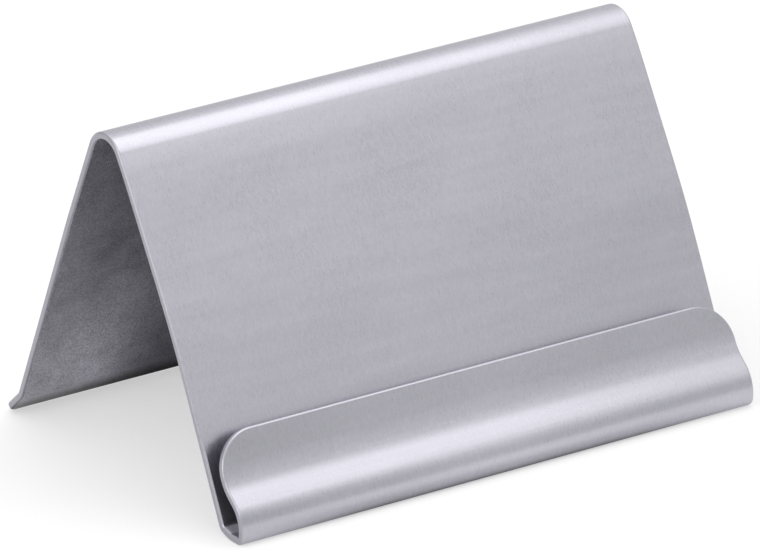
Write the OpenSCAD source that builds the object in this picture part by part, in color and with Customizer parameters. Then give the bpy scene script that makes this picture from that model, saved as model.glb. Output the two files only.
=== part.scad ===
// Place card holder: one strip of satin stainless steel bent into a tent, with a card channel in front.
// X runs along the ridge, the front panel faces -Y, and the table is at Z = 0.
// The strip is drawn as its flats and bends, in order, from the tip of the rear foot over the ridge
// and down to the top edge of the card lip. Each one ends where the next one starts.

/* [Strip] */
// Width of the strip, along the ridge
strip_w = 60; // [45:1:90]
// Thickness of the steel
sheet_t = 0.75; // [0.6:0.05:1]
// Height from the table to the top of the ridge
stand_h = 34.6; // [31:0.1:42]

/* [Rear foot] */
// Length of the foot's flat
foot_l = 3; // [2:0.1:4.5]
// Slope of the foot below level, in degrees
foot_slope = 42.5; // [35:0.5:50]
// Inner radius of the bend above the foot
foot_bend_r = 0.4; // [0.2:0.05:1]
// Radius of the foot's two corners
foot_corner_r = 0.8; // [0.3:0.1:1.5]

/* [Rear leg] */
// Lean of the rear leg from upright, in degrees
rear_lean = 22.8; // [18:0.2:28]
// Length of the gentle bow at the top of the rear leg
rear_bow_l = 10; // [4:0.5:14]
// Turn of that bow, in degrees
rear_bow_turn = 2.5; // [1:0.1:4]

/* [Ridge] */
// Inner radius of the bend at the ridge
ridge_bend_r = 2.2; // [1.5:0.1:3.5]

/* [Front panel] */
// Length of the shoulder, the soft start of the panel below the ridge
shoulder_l = 4; // [2:0.5:6]
// Turn of the shoulder, in degrees
shoulder_turn = 3.5; // [1:0.5:6]
// Lean of the panel's upper flat from upright, in degrees
front_lean = 30.5; // [28:0.5:34]
// Length of the panel's upper flat
upper_flat_l = 10.3; // [6:0.1:13]
// Length of the gentle bow in the middle of the panel
front_bow_l = 8.2; // [4:0.1:10]
// Turn of that bow, in degrees
front_bow_turn = 5.1; // [3:0.1:8]

/* [Card channel] */
// Inner radius of the heel, the bend below the panel
heel_bend_r = 0.5; // [0.3:0.05:1]
// Tilt of the ramp from level, in degrees
ramp_tilt = 15; // [10:1:20]
// Inner radius of the bend between the ramp and the land
ramp_bend_r = 1.1; // [0.6:0.1:2]
// Depth of the land, the level flat that stands on the table
land_l = 0.9; // [0.5:0.1:1.4]
// Inner radius of the tight bend in front of the land
toe_bend_r = 0.25; // [0.15:0.05:0.5]
// Turn of that tight bend, in degrees
toe_turn = 82; // [78:1:88]
// Inner radius of the round nose
nose_bend_r = 2.85; // [2.4:0.05:3.8]

/* [Card lip] */
// Length of the slope behind the nose
slope_l = 0.8; // [0.4:0.1:2]
// Lean of the slope from upright, in degrees
slope_lean = 50.8; // [46:0.2:56]
// Radius of the bend between the slope and the lip, on the lip's back
lip_bend_r = 4.1; // [2.5:0.1:6]
// Lean of the lip from upright, in degrees
lip_lean = 26; // [22:0.5:30]
// Length of the lip's flat
lip_l = 4.2; // [4.2:0.1:6]
// Radius of the lip's two corners
lip_corner_r = 4.2; // [2:0.1:4.2]
// Clear gap for the card, between the lip's top edge and the panel
card_gap = 1.55; // [1.2:0.05:1.9]

/* [Hidden] */
// In their order along the strip
NODES = ["rear_foot", "foot_bend", "rear_leg", "rear_bow", "ridge_bend",
         "panel_shoulder", "panel_top", "panel_bow", "panel_bottom",
         "channel_heel", "channel_ramp", "ramp_bend", "channel_land", "toe_bend", "channel_nose",
         "lip_slope", "lip_bend", "card_lip"];
steel = [0.72, 0.72, 0.75];
half_t = sheet_t / 2;
degrees_per_radian = 180 / PI;
// Facets along each bend, and round each corner, in a preview
bend_facets = 24;
corner_facets = 96;

// A step along the strip is [length, 0] for a flat, or [radius, turn] for a bend, where the radius is
// that of the middle of the sheet. A turn is positive where the strip bends to its left, the side
// that faces the inside of the tent.
function bent(inner_r, turn) = [inner_r + half_t, turn];
function bowed(l, turn) = [l / turn * degrees_per_radian, turn];

// A place on the strip is [y, z, heading]: the middle of the sheet, and its direction from +Y towards +Z
function after(place, step) =
    let (h = place[2], turned = h + step[1], r = sign(step[1]) * step[0])
    step[1] == 0
        ? [place[0] + step[0] * cos(h), place[1] + step[0] * sin(h), h]
        : [place[0] + r * (sin(turned) - sin(h)), place[1] + r * (cos(h) - cos(turned)), turned];
function follow(place, steps, i = 0) =
    i == len(steps) ? place : follow(after(place, steps[i]), steps, i + 1);

panel_lean = front_lean - front_bow_turn;
foot_heading = 180 - foot_slope;
leg_heading = 90 + rear_lean;
panel_heading = 270 - panel_lean;

foot = [foot_l, 0];
foot_turn = bent(foot_bend_r, leg_heading - foot_heading);
rear_curve = bowed(rear_bow_l, rear_bow_turn);
ridge = bent(ridge_bend_r, 180 - rear_lean - rear_bow_turn - front_lean - shoulder_turn);
shoulder = bowed(shoulder_l, shoulder_turn);
upper_flat = [upper_flat_l, 0];
front_curve = bowed(front_bow_l, front_bow_turn);
heel = bent(heel_bend_r, ramp_tilt + panel_lean - 90);
ramp_turn = bent(ramp_bend_r, -ramp_tilt);
land = [land_l, 0];
toe = bent(toe_bend_r, -toe_turn);
nose = bent(nose_bend_r, toe_turn - slope_lean - 90);
slope = [slope_l, 0];
lip_turn = bent(lip_bend_r, slope_lean - lip_lean);
lip = [lip_l, 0];

// The ramp is as long as it takes to leave card_gap between the panel and the lip's top edge.
// Distances from the panel are those of the middle of the sheet.
function from_panel(place) = place[1] * sin(panel_lean) - place[0] * cos(panel_lean);
ramp_start = after([0, 0, panel_heading], heel);
lip_top = follow([0, 0, ramp_start[2]], [ramp_turn, land, toe, nose, slope, lip_turn, lip]);
lip_back = half_t * cos(lip_lean - panel_lean);
ramp_reach = half_t + card_gap + lip_back - from_panel(ramp_start) - from_panel(lip_top);
ramp_l = ramp_reach / cos(ramp_tilt + panel_lean);
ramp = [ramp_l, 0];

// The rear leg is as long as it takes to lift the ridge to stand_h
foot_tip_z = half_t * cos(foot_slope);
leg_start = follow([0, foot_tip_z, foot_heading], [foot, foot_turn]);
rear_curve_rise = after([0, 0, leg_heading], rear_curve)[1];
ridge_rise = ridge[0] * (1 - sin(rear_lean + rear_bow_turn));
leg_rise = stand_h - half_t - ridge_rise - rear_curve_rise - leg_start[1];
rear_leg = [leg_rise / cos(rear_lean), 0];

// The panel's lower flat is as long as it takes to bring the land down to the table
lower_flat_start = follow(leg_start, [rear_leg, rear_curve, ridge, shoulder, upper_flat, front_curve]);
channel_rise = follow([0, 0, panel_heading], [heel, ramp, ramp_turn])[1];
lower_flat = [(lower_flat_start[1] + channel_rise - half_t) / cos(panel_lean), 0];

// One step for each node, in the same order
steps = [foot, foot_turn, rear_leg, rear_curve, ridge,
         shoulder, upper_flat, front_curve, lower_flat,
         heel, ramp, ramp_turn, land, toe, nose,
         slope, lip_turn, lip];

// The stand is centred between the back of its foot and the front of its nose
nose_start = follow(lower_flat_start, [lower_flat, heel, ramp, ramp_turn, land, toe]);
nose_front = nose_start[0] - nose[0] * (1 - sin(nose_start[2])) - half_t;
foot_back = half_t * sin(foot_slope);
strip_start = [-(nose_front + foot_back) / 2, foot_tip_z, foot_heading];
function number_of(name) = search([name], NODES)[0];
function step_of(name) = steps[number_of(name)];
function start_of(name) = follow(strip_start, [for (i = [0 : 1 : number_of(name) - 1]) steps[i]]);

// Moves what is drawn along +Y, with the middle of the sheet at Z = 0, to where a node starts
module on_strip(name) {
    start = start_of(name);
    translate([0, start[0], start[1]])
        rotate([start[2], 0, 0])
            children();
}

// A flat the full width of the strip
module flat(name)
    on_strip(name)
        translate([-strip_w / 2, 0, -half_t])
            cube([strip_w, step_of(name)[0], sheet_t]);

// A bend, as a slice of a tube that lies along X
module bend(name) {
    r = step_of(name)[0];
    turn = step_of(name)[1];
    on_strip(name)
        translate([0, 0, sign(turn) * r])
            rotate([90, 0, 90])
                rotate([0, 0, turn > 0 ? -90 : 90 + turn])
                    rotate_extrude(angle = abs(turn), $fn = ceil(bend_facets * 360 / abs(turn)))
                        translate([r - half_t, -strip_w / 2])
                            square([sheet_t, strip_w]);
}

// A flat with both corners of its free end rounded
module end_flat(name, corner_r) {
    l = step_of(name)[0];
    translate([0, 0, -half_t])
        linear_extrude(sheet_t)
            intersection() {
                translate([-strip_w / 2, 0])
                    square([strip_w, l]);
                union() {
                    translate([-strip_w / 2, 0])
                        square([strip_w, l - corner_r]);
                    translate([corner_r - strip_w / 2, 0])
                        square([strip_w - 2 * corner_r, l]);
                    for (side = [-1, 1])
                        translate([side * (strip_w / 2 - corner_r), l - corner_r])
                            circle(r = corner_r, $fn = corner_facets);
                }
            }
}

// The short turned-out foot, whose free end is at the start of the strip
module rear_foot()
    color(steel)
        on_strip("rear_foot")
            translate([0, foot_l, 0])
                mirror([0, 1, 0])
                    end_flat("rear_foot", foot_corner_r);

module foot_bend() color(steel) bend("foot_bend");

module rear_leg() color(steel) flat("rear_leg");

module rear_bow() color(steel) bend("rear_bow");

module ridge_bend() color(steel) bend("ridge_bend");

// The panel that the card leans on: two flats, with a slight bow above each of them
module panel_shoulder() color(steel) bend("panel_shoulder");

module panel_top() color(steel) flat("panel_top");

module panel_bow() color(steel) bend("panel_bow");

module panel_bottom() color(steel) flat("panel_bottom");

// The channel that the card stands in
module channel_heel() color(steel) bend("channel_heel");

module channel_ramp() color(steel) flat("channel_ramp");

module ramp_bend() color(steel) bend("ramp_bend");

module channel_land() color(steel) flat("channel_land");

module toe_bend() color(steel) bend("toe_bend");

module channel_nose() color(steel) bend("channel_nose");

// The lip that holds the card's lower edge back against the panel
module lip_slope() color(steel) flat("lip_slope");

module lip_bend() color(steel) bend("lip_bend");

module card_lip()
    color(steel)
        on_strip("card_lip")
            end_flat("card_lip", lip_corner_r);

rear_foot();
foot_bend();
rear_leg();
rear_bow();
ridge_bend();
panel_shoulder();
panel_top();
panel_bow();
panel_bottom();
channel_heel();
channel_ramp();
ramp_bend();
channel_land();
toe_bend();
channel_nose();
lip_slope();
lip_bend();
card_lip();
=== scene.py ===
from math import sin, cos, pi, radians, ceil

import bpy
import bmesh
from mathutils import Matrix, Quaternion, Vector


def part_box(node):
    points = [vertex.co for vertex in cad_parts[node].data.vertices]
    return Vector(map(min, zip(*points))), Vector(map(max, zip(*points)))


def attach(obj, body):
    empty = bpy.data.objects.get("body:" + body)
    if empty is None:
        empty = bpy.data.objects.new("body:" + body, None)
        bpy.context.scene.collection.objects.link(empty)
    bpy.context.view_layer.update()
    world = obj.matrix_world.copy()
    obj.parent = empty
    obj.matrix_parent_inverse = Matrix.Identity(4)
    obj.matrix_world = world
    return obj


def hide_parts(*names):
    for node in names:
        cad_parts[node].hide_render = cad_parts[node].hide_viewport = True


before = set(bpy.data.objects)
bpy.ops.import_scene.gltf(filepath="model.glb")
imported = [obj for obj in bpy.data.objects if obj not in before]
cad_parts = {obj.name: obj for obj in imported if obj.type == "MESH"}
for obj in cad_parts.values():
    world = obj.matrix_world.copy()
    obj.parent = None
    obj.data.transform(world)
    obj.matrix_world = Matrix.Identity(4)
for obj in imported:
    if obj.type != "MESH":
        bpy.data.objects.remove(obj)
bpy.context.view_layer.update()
print("frame loaded:", len(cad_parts), "nodes")

mm = 0.001

strip = {
    "width": 60 * mm,
    "thickness": 0.75 * mm,
    "edgeRadius": 0.24 * mm,    # how far the cut edges are rounded off
    "edgeSteps": 5,             # faces round each of those edges
    "turnStep": 2.5,            # most degrees that a bend turns from one row of faces to the next
    "cornerStep": 0.12 * mm,    # about how long the faces round the free corners are
    "cornerSteps": 10,          # and the least number of them
    "footSlope": 42.5,          # degrees below level
}

half = strip["thickness"] / 2
shortest = 0.01 * mm            # no row of faces is made for less than this

# a length is the size of a pattern's features; a tone is a part of the colour, which a pattern adds and takes
# away; along is measured over the bends, from the tip of the rear foot
steel = {
    "colour": (0.56, 0.553, 0.611),
    "roughness": (0.27, 0.35),              # least and most, over the grain
    "grain": (0.11 * mm, 0.6 * mm),         # of the satin finish, across the strip and along it
    "grainTone": 0.065,
    "grainDepth": 0.0004 * mm,
    "speckle": 0.16 * mm,                   # a faint mottling in the grain
    "speckleTone": 0.045,
    "streak": (16 * mm, 1.4 * mm),          # soft streaks, across the strip and along it
    "streakTone": 0.035,
    "cloud": 9 * mm,                        # soft marks that handling leaves
    "cloudTone": 0.015,
    "cloudRoughness": 0.02,
    "wave": (22 * mm, 11 * mm),             # the sheet isn't perfectly flat
    "waveDepth": 0.004 * mm,
    "patch": 3.2 * mm,                      # blotches on the unpolished inside of the tent
    "patchTone": 0.16,
    "insideSpeckleTone": 0.25,
    "cutTone": 0.7,                         # the cut edges have this part of the faces' tone
    "cutRoughness": 0.1,
    "cornerHighlightTone": 0.02,                     # the corners between them are a shade lighter, a painted highlight
    "sideCornerShade": 0.72,                 # but those along the open ends are darker, a painted shade
    "insideCornerShade": 0.45,               # and those inside the tent darker still, a painted shade
    "channelStart": (72.5 * mm, 77 * mm),   # along, where the front of the sheet gets into the card channel
    "channelEnd": (85 * mm, 89 * mm),       # and where it is out again, behind the lip
    "channelDepth": (0.05 * mm, 0.5 * mm),  # in from its open ends, where it gets dull, and dark with a painted shade
    "channelShadeTone": 0.6,
    "channelRoughness": 0.15,
    "footEnd": (1 * mm, 2.6 * mm),          # along, where the rear foot gets a painted shade underneath
    "footShadeTone": 0.35,
    "legShade": (14 * mm, 26 * mm),         # along, where the rear leg's inside gets a painted shade, darker towards the foot
    "legShadeTone": 0.75,
    "legLightPool": (9 * mm, 9.5 * mm),         # a painted pool of light there: in from the open ends, and along
    "legLightPoolSize": (8 * mm, 13 * mm),
    "legLightPoolTone": 0.9,
    "rightStart": (0, 24 * mm),             # across, where the front gets a painted shade, darker to the right
    "rightTop": (50 * mm, 60 * mm),         # but not above this, along
    "rightShadeTone": 0.93,
    "noseShade": (-30 * mm, 0),             # across, where the nose and the lip get a painted shade, darker towards the left end
    "noseShadeTone": (0.88, 0.98),
    "lipStart": (84 * mm, 87 * mm),         # along, where the lip gets more painted shade
    "lipShadeTone": 0.94,
    "bendHighlights": [                          # painted highlights at the lip's bends: start, middle and end, along
        (83.5 * mm, 84.1 * mm, 84.8 * mm),
        (86.6 * mm, 87.3 * mm, 89.1 * mm),
    ],
    "bendHighlightTone": 0.23,
}


def addNode(tree, kind, **settings):
    node = tree.nodes.new(kind)
    for name, value in settings.items():
        setattr(node, name, value)
    return node


def makeSteel():
    material = bpy.data.materials.new("satinSteel")
    material.use_nodes = True
    tree = material.node_tree
    link = tree.links.new
    shader = tree.nodes["Principled BSDF"]
    shader.inputs["Metallic"].default_value = 1

    def noise(across, along, through, detail, roughness=0.5):
        scaled = addNode(tree, "ShaderNodeMapping")
        scaled.inputs["Scale"].default_value = (1 / across, 1 / along, 1 / through)
        link(place, scaled.inputs["Vector"])
        pattern = addNode(tree, "ShaderNodeTexNoise")
        pattern.inputs["Scale"].default_value = 1
        pattern.inputs["Detail"].default_value = detail
        pattern.inputs["Roughness"].default_value = roughness
        link(scaled.outputs["Vector"], pattern.inputs["Vector"])
        return pattern.outputs["Fac"]

    def mapped(value, fromRange, toRange):
        ranged = addNode(tree, "ShaderNodeMapRange")
        ranged.inputs["From Min"].default_value = fromRange[0]
        ranged.inputs["From Max"].default_value = fromRange[1]
        ranged.inputs["To Min"].default_value = toRange[0]
        ranged.inputs["To Max"].default_value = toRange[1]
        link(value, ranged.inputs["Value"])
        return ranged.outputs["Result"]

    def combined(operation, first, second):
        result = addNode(tree, "ShaderNodeMath", operation=operation)
        for socket, value in zip(result.inputs, (first, second)):
            if isinstance(value, (int, float)):
                socket.default_value = value
            else:
                link(value, socket)
        return result.outputs["Value"]

    def toned(tone, factor, where):
        # the tone times the factor where the mask is 1, and as it was where the mask is 0
        change = combined("MULTIPLY", combined("SUBTRACT", factor, 1), where)
        return combined("MULTIPLY", tone, combined("ADD", change, 1))

    def bump(height, depth, normal=None):
        raised = addNode(tree, "ShaderNodeBump")
        raised.inputs["Strength"].default_value = 1
        raised.inputs["Distance"].default_value = depth
        link(height, raised.inputs["Height"])
        if normal is not None:
            link(normal, raised.inputs["Normal"])
        return raised.outputs["Normal"]

    # the place on the flat strip: across it, along it and through it, in metres
    place = addNode(tree, "ShaderNodeAttribute", attribute_name="onStrip").outputs["Vector"]
    parts = addNode(tree, "ShaderNodeSeparateXYZ")
    link(place, parts.inputs["Vector"])
    across, along, height = parts.outputs

    grain = noise(*steel["grain"], steel["grain"][0], detail=3, roughness=0.6)
    speckle = noise(*[steel["speckle"]] * 3, detail=2)
    streak = noise(*steel["streak"], steel["cloud"], detail=2)
    cloud = noise(*[steel["cloud"]] * 3, detail=3)
    patch = noise(*[steel["patch"]] * 3, detail=4, roughness=0.6)
    wave = noise(*steel["wave"], steel["wave"][0], detail=1)

    # most of a pattern lies in the wide range, and the narrow one makes more contrast of it
    wide, narrow = (0.25, 0.75), (0.3, 0.7)

    def around(pattern, middle, amount, used=wide):
        return mapped(pattern, used, (middle - amount, middle + amount))

    tone = combined("ADD", around(grain, 1, steel["grainTone"]), around(speckle, 0, steel["speckleTone"]))
    tone = combined("MULTIPLY", tone, around(cloud, 1, steel["cloudTone"]))
    tone = combined("MULTIPLY", tone, around(streak, 1, steel["streakTone"]))

    # 1 on the face of the sheet that is inside the tent, and on the other, and 0 once away from it
    nearFace, onFace = 0.8 * half, 0.95 * half
    inner = mapped(height, (nearFace, onFace), (0, 1))
    outer = mapped(height, (-onFace, -nearFace), (1, 0))
    onTent = mapped(along, steel["channelStart"], (1, 0))

    blotch = combined("MULTIPLY", around(patch, 0, steel["patchTone"], narrow), inner)
    mottling = combined("MULTIPLY", around(speckle, 0, steel["insideSpeckleTone"], narrow), inner)
    blotch = combined("ADD", blotch, mottling)
    tone = combined("ADD", tone, combined("MULTIPLY", blotch, onTent))

    fromEnd = combined("SUBTRACT", strip["width"] / 2, combined("ABSOLUTE", across, 0))
    # inside the card channel: rougher, and darker with a painted shade
    channelShadeAndRough = combined("MULTIPLY", outer, combined("SUBTRACT", 1, onTent))
    channelShadeAndRough = combined("MULTIPLY", channelShadeAndRough, mapped(fromEnd, steel["channelDepth"], (0, 1)))
    channelShadeAndRough = combined("MULTIPLY", channelShadeAndRough, mapped(along, steel["channelEnd"], (1, 0)))
    tone = toned(tone, steel["channelShadeTone"], channelShadeAndRough)
    # painted shade under the rear foot
    shadeUnderFoot = combined("MULTIPLY", inner, mapped(along, steel["footEnd"], (1, 0)))
    tone = toned(tone, steel["footShadeTone"], shadeUnderFoot)

    # the distance from the middle of the painted pool of light, in parts of its size and squared
    far = 0
    for value, middle, size in zip((fromEnd, along), steel["legLightPool"], steel["legLightPoolSize"]):
        off = combined("DIVIDE", combined("SUBTRACT", value, middle), size)
        far = combined("ADD", far, combined("MULTIPLY", off, off))
    near = mapped(far, (0, 1), (1, 0))
    near = combined("MULTIPLY", near, near)
    # the rear leg's inside: painted shade towards the foot, lifted by the painted pool of light
    shade = toned(mapped(along, steel["legShade"], (steel["legShadeTone"], 1)), 1 + steel["legLightPoolTone"], near)
    tone = toned(tone, shade, inner)

    # painted shade on the front, darker towards its right end
    shadeToRight = combined("MULTIPLY", mapped(across, steel["rightStart"], (0, 1)),
                       mapped(along, steel["rightTop"], (0, 1)))
    tone = toned(tone, steel["rightShadeTone"], shadeToRight)

    # painted shade on the nose and the lip, and painted highlights at the lip's bends
    shade = mapped(across, steel["noseShade"], steel["noseShadeTone"])
    shade = combined("MULTIPLY", shade, mapped(along, steel["lipStart"], (1, steel["lipShadeTone"])))
    # each painted highlight rises and falls along its bend
    for start, middle, end in steel["bendHighlights"]:
        rise = mapped(along, (start, middle), (0, 1))
        bendGlint = combined("MULTIPLY", rise, mapped(along, (middle, end), (1, 0)))
        shade = toned(shade, 1 + steel["bendHighlightTone"], bendGlint)
    tone = toned(tone, shade, combined("MULTIPLY", inner, combined("SUBTRACT", 1, onTent)))

    # 0 on the faces of the sheet, 1 on its cut edges, and between them on the rounded corners
    edge = addNode(tree, "ShaderNodeAttribute", attribute_name="cutEdge").outputs["Fac"]
    cornerRange, cutRange, sidewaysRange = (0.05, 0.5), (0.75, 1), (0.2, 0.7)
    insideRange = (0, 0.3 * half)
    onCut = mapped(edge, cutRange, (0, 1))
    onCorner = combined("SUBTRACT", mapped(edge, cornerRange, (0, 1)), onCut)
    innerSide = combined("MULTIPLY", mapped(height, insideRange, (0, 1)), onTent)
    insideCorner = combined("MULTIPLY", onCorner, innerSide)
    outerCorner = combined("SUBTRACT", onCorner, insideCorner)
    tone = toned(tone, steel["cutTone"], onCut)
    # a painted highlight on the outer corners
    tone = combined("ADD", tone, combined("MULTIPLY", outerCorner, steel["cornerHighlightTone"]))
    # painted shade on the corners inside the tent
    tone = toned(tone, steel["insideCornerShade"], insideCorner)
    # 1 where the surface faces one of the open ends
    faces = addNode(tree, "ShaderNodeSeparateXYZ")
    link(addNode(tree, "ShaderNodeNewGeometry").outputs["Normal"], faces.inputs["Vector"])
    sideways = mapped(combined("ABSOLUTE", faces.outputs["X"], 0), sidewaysRange, (0, 1))
    # painted shade on the outer corners that face the open ends
    tone = toned(tone, steel["sideCornerShade"], combined("MULTIPLY", outerCorner, sideways))

    tinted = addNode(tree, "ShaderNodeVectorMath", operation="SCALE")
    tinted.inputs[0].default_value = steel["colour"]
    link(tone, tinted.inputs["Scale"])
    link(tinted.outputs["Vector"], shader.inputs["Base Color"])

    clouded = around(cloud, 0, steel["cloudRoughness"], narrow)
    rough = combined("ADD", mapped(grain, narrow, steel["roughness"]), clouded)
    rough = combined("ADD", rough, combined("MULTIPLY", onCut, steel["cutRoughness"]))
    rough = combined("ADD", rough, combined("MULTIPLY", channelShadeAndRough, steel["channelRoughness"]))
    link(rough, shader.inputs["Roughness"])

    waved = bump(wave, steel["waveDepth"])
    link(bump(grain, steel["grainDepth"], waved), shader.inputs["Normal"])
    return material


satinSteel = makeSteel()
print("material made")

# from the tip of the rear foot, over the ridge, to the top edge of the lip: a flat has a length, and a bend
# an inside radius or a length, and a turn in degrees, positive towards the inside of the tent; the rear leg,
# the panel's bottom and the ramp take their lengths from their nodes
route = [
    {"node": "rear_foot", "piece": "rearFoot", "length": 3 * mm, "corners": 0.8 * mm, "free": "start"},
    {"node": "foot_bend", "piece": "footBend", "inside": 0.4 * mm, "turn": -24.7},
    {"node": "rear_leg", "piece": "rearLeg"},
    {"node": "rear_bow", "piece": "rearBow", "length": 10 * mm, "turn": 2.5},
    {"node": "ridge_bend", "piece": "ridgeBend", "inside": 2.2 * mm, "turn": 120.7},
    {"node": "panel_shoulder", "piece": "panelShoulder", "length": 4 * mm, "turn": 3.5},
    {"node": "panel_top", "piece": "panelTop", "length": 10.3 * mm},
    {"node": "panel_bow", "piece": "panelBow", "length": 8.2 * mm, "turn": 5.1},
    {"node": "panel_bottom", "piece": "panelBottom"},
    {"node": "channel_heel", "piece": "channelHeel", "inside": 0.5 * mm, "turn": -49.6},
    {"node": "channel_ramp", "piece": "channelRamp"},
    {"node": "ramp_bend", "piece": "rampBend", "inside": 1.1 * mm, "turn": -15},
    {"node": "channel_land", "piece": "channelLand", "length": 0.9 * mm},
    {"node": "toe_bend", "piece": "toeBend", "inside": 0.25 * mm, "turn": -82},
    {"node": "channel_nose", "piece": "channelNose", "inside": 2.85 * mm, "turn": -58.8},
    {"node": "lip_slope", "piece": "lipSlope", "length": 0.8 * mm},
    {"node": "lip_bend", "piece": "lipBend", "inside": 4.1 * mm, "turn": 24.8},
    {"node": "card_lip", "piece": "cardLip", "length": 4.2 * mm, "corners": 4.2 * mm, "free": "end"},
]


def settle(row, start):
    # gives a row its start and its length along the middle of the sheet
    row["start"] = start
    row.setdefault("turn", 0)
    if "inside" in row:
        row["length"] = (row["inside"] + half) * radians(abs(row["turn"]))
    if "length" not in row:
        low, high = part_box(row["node"])
        heading = start[2]
        row["length"] = (high[2] - low[2] - 2 * half * abs(cos(heading))) / abs(sin(heading))


def placeOn(row, along):
    # the middle of the sheet at that length along a flat or bend: y, z and heading
    y, z, heading = row["start"]
    if not row["turn"]:
        return y + along * cos(heading), z + along * sin(heading), heading
    radius = row["length"] / radians(row["turn"])
    turned = heading + along / radius
    return y + radius * (sin(turned) - sin(heading)), z + radius * (cos(heading) - cos(turned)), turned


def edgeProfile():
    # the rounded cut edge from the face inside the tent to the one outside: inset, height, and its direction
    radius, steps = strip["edgeRadius"], strip["edgeSteps"]
    profile = []
    for side in (1, -1):
        for step in range(steps + 1):
            angle = radians(90) * (1 - step / steps if side > 0 else step / steps)
            height = half - radius + radius * sin(angle)
            profile.append((radius * (1 - cos(angle)), side * height, cos(angle), side * sin(angle)))
    return profile


def stationsOf(row):
    # each station across the strip: length along the row, half width, and the way its edge faces in plan
    halfWidth, length = strip["width"] / 2, row["length"]
    if "corners" not in row:
        count = max(1, ceil(abs(row["turn"]) / strip["turnStep"]))
        return [(length * i / count, halfWidth, 0) for i in range(count + 1)]
    corner = row["corners"]
    arcStart = length - corner
    stations = [(0, halfWidth, 0)]
    if arcStart > shortest:
        stations.append((arcStart, halfWidth, 0))
    count = max(strip["cornerSteps"], ceil(corner / strip["cornerStep"]))
    for i in range(1, count + 1):
        angle = radians(90) * i / count
        stations.append((arcStart + corner * sin(angle), halfWidth - corner + corner * cos(angle), angle))
    return stations


def makePiece(row, before):
    mesh = bpy.data.meshes.new(row["piece"])
    bm = bmesh.new()
    profile = edgeProfile()
    normals, places, cuts, rings = [], [], [], []
    fromEnd = row.get("free") == "start"
    for along, halfWidth, angle in stationsOf(row):
        ring = []
        for side in (1, -1):
            for inset, height, outward, upward in (profile if side > 0 else profile[::-1]):
                across = side * (halfWidth - inset * cos(angle))
                ahead = along - inset * sin(angle)
                way = sin(angle) * outward
                if fromEnd:
                    ahead, way = row["length"] - ahead, -way
                y, z, heading = placeOn(row, ahead)
                point = (across, y - height * sin(heading), z + height * cos(heading))
                ring.append(bm.verts.new(point))
                normals.append((side * outward * cos(angle), way * cos(heading) - upward * sin(heading),
                                way * sin(heading) + upward * cos(heading)))
                places.append((across, before + ahead, height))
                cuts.append(outward)
        rings.append(ring)
    for near, far in zip(rings, rings[1:]):
        for i in range(len(near)):
            bm.faces.new((near[i - 1], near[i], far[i], far[i - 1])).smooth = True
    bm.faces.new(rings[0])
    tip = rings[-1]
    if "free" in row:
        # the free end narrows to a straight edge between its rounded corners
        for i in range(len(profile) - 1):
            bm.faces.new((tip[i], tip[i + 1], tip[-2 - i], tip[-1 - i])).smooth = True
    else:
        bm.faces.new(tip)
    bmesh.ops.recalc_face_normals(bm, faces=bm.faces)
    bm.to_mesh(mesh)
    bm.free()

    corners = [None] * len(mesh.loops)
    for face in mesh.polygons:
        for i in face.loop_indices:
            corners[i] = normals[mesh.loops[i].vertex_index] if face.use_smooth else tuple(face.normal)
    mesh.normals_split_custom_set(corners)
    onStrip = mesh.attributes.new("onStrip", "FLOAT_VECTOR", "POINT")
    onStrip.data.foreach_set("vector", [number for place in places for number in place])
    cutEdge = mesh.attributes.new("cutEdge", "FLOAT", "POINT")
    cutEdge.data.foreach_set("value", cuts)
    mesh.materials.append(satinSteel)

    piece = bpy.data.objects.new(row["piece"], mesh)
    bpy.context.scene.collection.objects.link(piece)
    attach(piece, "root")
    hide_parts(row["node"])
    return piece


def bendStrip():
    slope = radians(strip["footSlope"])
    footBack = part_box("rear_foot")[1][1]
    here = (footBack - half * sin(slope), half * cos(slope), pi - slope)
    before, worst = 0, 0
    for row in route:
        settle(row, here)
        piece = makePiece(row, before)
        low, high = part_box(row["node"])
        for axis in range(3):
            ends = [vertex.co[axis] for vertex in piece.data.vertices]
            worst = max(worst, abs(min(ends) - low[axis]), abs(max(ends) - high[axis]))
        here = placeOn(row, row["length"])
        before += row["length"]
    print("strip bent:", len(route), "pieces,", round(before / mm, 2), "mm long, off its nodes by at most",
          round(worst / mm, 4), "mm")


bendStrip()

floorLook = {
    "size": 6,
    "colour": (0.5, 0.5, 0.5, 1),
    "glow": 0.5,                      # added where the camera or a reflection looks, so that it shows white
    "shaded": (12 * mm, 19.3 * mm),   # reflections get none of it under the object, this far along X and Y, which leaves a painted shadow there
    "fade": (24 * mm, 7 * mm),        # and it takes this far to come up for them
}


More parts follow.
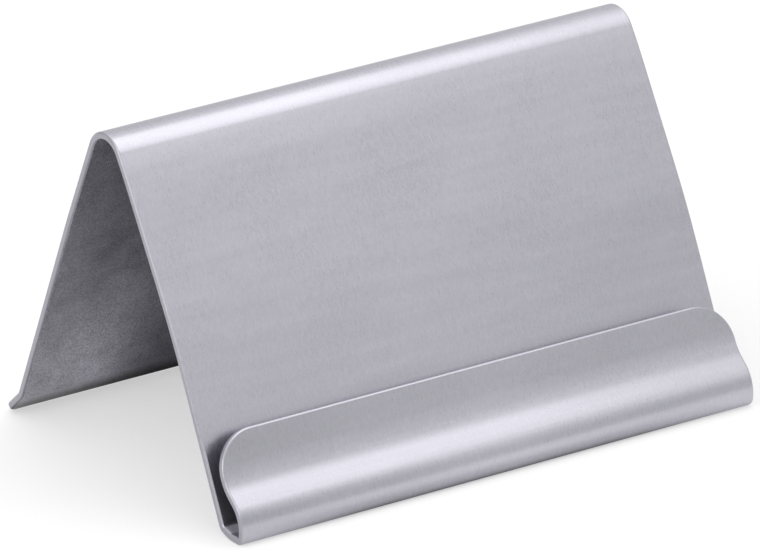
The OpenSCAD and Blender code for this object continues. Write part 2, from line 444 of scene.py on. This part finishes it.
def makeFloor():
    reach = floorLook["size"] / 2
    mesh = bpy.data.meshes.new("floor")
    ends = [(-reach, -reach, 0), (reach, -reach, 0), (reach, reach, 0), (-reach, reach, 0)]
    mesh.from_pydata(ends, [], [(0, 1, 2, 3)])
    material = bpy.data.materials.new("palePaper")
    material.use_nodes = True
    tree = material.node_tree
    link = tree.links.new
    shader = tree.nodes["Principled BSDF"]
    shader.inputs["Base Color"].default_value = floorLook["colour"]
    shader.inputs["Roughness"].default_value = 1
    shader.inputs["Specular IOR Level"].default_value = 0
    shader.inputs["Emission Color"].default_value = (1, 1, 1, 1)

    def combined(operation, first, second):
        result = addNode(tree, "ShaderNodeMath", operation=operation)
        link(first, result.inputs[0])
        link(second, result.inputs[1])
        return result.outputs["Value"]

    # how far outside the shaded rectangle, in parts of the fade
    outside = addNode(tree, "ShaderNodeTexCoord").outputs["Object"]
    steps = [("ABSOLUTE", (0, 0, 0)), ("SUBTRACT", (*floorLook["shaded"], 0)), ("MAXIMUM", (0, 0, 0)),
             ("DIVIDE", (*floorLook["fade"], 1))]
    for operation, vector in steps:
        step = addNode(tree, "ShaderNodeVectorMath", operation=operation)
        link(outside, step.inputs[0])
        step.inputs[1].default_value = vector
        outside = step.outputs["Vector"]
    distance = addNode(tree, "ShaderNodeVectorMath", operation="LENGTH")
    link(outside, distance.inputs[0])
    fade = addNode(tree, "ShaderNodeMapRange", interpolation_type="SMOOTHSTEP")
    link(distance.outputs["Value"], fade.inputs["Value"])

    rays = addNode(tree, "ShaderNodeLightPath").outputs
    mirrored = combined("MAXIMUM", rays["Is Glossy Ray"], rays["Is Transmission Ray"])
    faded = combined("MULTIPLY", mirrored, fade.outputs["Result"])
    seen = combined("MAXIMUM", faded, rays["Is Camera Ray"])
    glow = addNode(tree, "ShaderNodeMath", operation="MULTIPLY")
    glow.inputs[1].default_value = floorLook["glow"]
    link(seen, glow.inputs[0])
    link(glow.outputs["Value"], shader.inputs["Emission Strength"])

    mesh.materials.append(material)
    floor = bpy.data.objects.new("floor", mesh)
    bpy.context.scene.collection.objects.link(floor)


makeFloor()

# how bright the room is at each height, as a sine
room = [(0, 0.6), (0.2, 0.74), (0.35, 0.79), (0.5, 0.72), (0.62, 0.88), (0.74, 1), (0.84, 1.16)]

# a lamp faces the origin from that direction and distance, is turned in degrees about the line to it, and is
# shifted along its own height, the box to the left, so that the right end of the ridge sees less of it
lamps = [
    {"name": "boxLamp", "toward": (0.56, -0.17, 0.78), "distance": 0.3, "turn": 23, "shift": 0.11,
     "size": (0.3, 0.2), "radiance": 0.77},
    {"name": "fillLamp", "toward": (-0.86, -0.2, 0.45), "distance": 0.35, "turn": 0, "shift": 0,
     "size": (0.25, 0.2), "radiance": 1.5},
]


def makeRoom():
    world = bpy.data.worlds.new("room")
    bpy.context.scene.world = world
    world.use_nodes = True
    tree = world.node_tree
    place = addNode(tree, "ShaderNodeTexCoord")
    parts = addNode(tree, "ShaderNodeSeparateXYZ")
    ramp = addNode(tree, "ShaderNodeValToRGB")
    stops = ramp.color_ramp.elements
    while len(stops) < len(room):
        stops.new(1)
    for stop, (height, brightness) in zip(stops, room):
        stop.position = height
        stop.color = (brightness, brightness, brightness, 1)
    tree.links.new(place.outputs["Generated"], parts.inputs["Vector"])
    tree.links.new(parts.outputs["Z"], ramp.inputs["Fac"])
    tree.links.new(ramp.outputs["Color"], tree.nodes["Background"].inputs["Color"])


def makeLamp(look):
    lamp = bpy.data.lights.new(look["name"], "AREA")
    lamp.shape = "RECTANGLE"
    lamp.size, lamp.size_y = look["size"]
    lamp.energy = look["radiance"] * pi * lamp.size * lamp.size_y
    toward = Vector(look["toward"]).normalized()
    facing = toward.to_track_quat("Z", "Y") @ Quaternion((0, 0, 1), radians(look["turn"]))
    holder = bpy.data.objects.new(look["name"], lamp)
    holder.location = toward * look["distance"] + facing @ Vector((0, look["shift"], 0))
    holder.rotation_euler = facing.to_euler()
    bpy.context.scene.collection.objects.link(holder)


makeRoom()
for look in lamps:
    makeLamp(look)

view = {
    "azimuth": -34.85,
    "elevation": 22.22,
    "distance": 1.0913,
    "lens": 536.36,
    "sensor": 36,
    "aim": (-0.646 * mm, -0.96 * mm, 14.356 * mm),
}


def makeCamera():
    turn, rise = radians(view["azimuth"]), radians(view["elevation"])
    data = bpy.data.cameras.new("camera")
    data.sensor_width = view["sensor"]
    data.lens = view["lens"]
    camera = bpy.data.objects.new("camera", data)
    back = Vector((sin(turn) * cos(rise), -cos(turn) * cos(rise), sin(rise)))
    camera.location = Vector(view["aim"]) + back * view["distance"]
    camera.rotation_euler = (radians(90) - rise, 0, turn)
    bpy.context.scene.collection.objects.link(camera)
    bpy.context.scene.camera = camera


makeCamera()
bpy.context.scene.view_settings.view_transform = "Standard"
print("floor, lamps and camera set")

bpy.context.view_layer.update()
